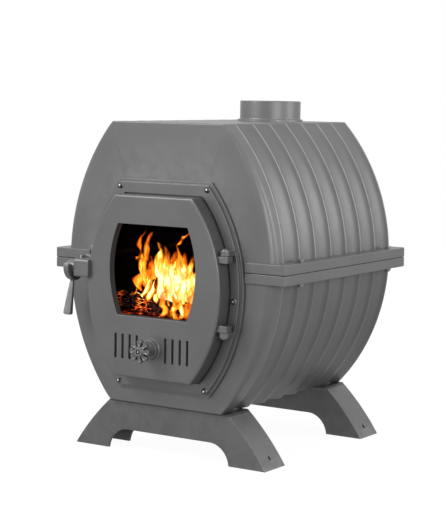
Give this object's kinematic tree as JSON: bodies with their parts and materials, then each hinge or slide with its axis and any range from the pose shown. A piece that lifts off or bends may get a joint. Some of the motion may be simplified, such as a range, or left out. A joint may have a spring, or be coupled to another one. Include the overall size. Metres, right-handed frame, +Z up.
{
  "type": "wood stove",
  "caption": "Ribbed barrel-shaped cast-iron wood stove on two arched legs, with a glazed hinged door, hook latch, screw air control and a top flue collar.",
  "frame": {"origin": "on the floor, in the middle of the overall width and depth", "axes": "+X to the right seen from the front, +Y to the rear (the door faces -Y), +Z up along the flue collar"},
  "size_m": [0.556, 0.583, 0.712],
  "materials": {
    "body_iron": "matte grey heat-resistant paint on cast iron",
    "fire_iron": "bare cast iron darkened by fire",
    "painted_bolts": "painted over with the body's matte grey",
    "steel": "plain turned steel",
    "black_sheet": "matte black steel sheet",
    "seal": "dark glass-fibre rope and seal board",
    "window_glass": "clear heat-resistant glass"
  },
  "bodies": {
    "stove": {"upper_shell": "body_iron", "lower_shell": "body_iron", "flange_seal": "seal", "flange_bolts": "painted_bolts", "flange_nuts": "painted_bolts", "flue_collar": "body_iron", "flue_collar_seal": "seal", "flue_collar_bolts": "steel", "front_leg": "body_iron", "rear_leg": "body_iron", "leg_bolts": "steel", "leg_nuts": "steel", "door_frame": "body_iron", "frame_seal": "seal", "frame_screws": "steel", "door_rope": "seal", "hinge_pins": "steel", "latch_keeper": "steel", "keeper_screws": "steel", "grate": "fire_iron", "ash_pan": "black_sheet", "baffle_plate": "fire_iron"},
    "door_leaf": {"door": "body_iron", "window_glass": "window_glass", "glass_seal": "seal", "glass_clips": "steel", "clip_screws": "steel", "shutter_guides": "steel", "latch_pivot": "steel"},
    "latch": {"latch_hook": "body_iron", "latch_handle": "steel"},
    "air_control": {"air_knob": "body_iron", "air_spindle": "steel", "knob_screw": "steel"},
    "shutter": {"air_shutter": "black_sheet"}
  },
  "joints": [
    {"name": "door_hinge", "type": "hinge", "parent": "stove", "child": "door_leaf", "pos_m": [0.16, -0.2305, 0.345], "axis": [0, 0, 1], "range_deg": [0, 115]},
    {"name": "latch_turn", "type": "hinge", "parent": "door_leaf", "child": "latch", "pos_m": [-0.2, -0.2395, 0.374], "axis": [-1, 0, 0], "range_deg": [0, 90]},
    {"name": "air_knob_turn", "type": "hinge", "parent": "door_leaf", "child": "air_control", "pos_m": [0, -0.28, 0.225], "axis": [0, -1, 0], "range_deg": [0, 1080]},
    {"name": "air_shutter_slide", "type": "slide", "parent": "door_leaf", "child": "shutter", "axis": [0, 1, 0], "range_m": [0, 0.012]}
  ],
  "couplings": [
    {"joint": "air_shutter_slide", "follows": "air_knob_turn", "m_per_rad": 0.0006366}
  ]
}
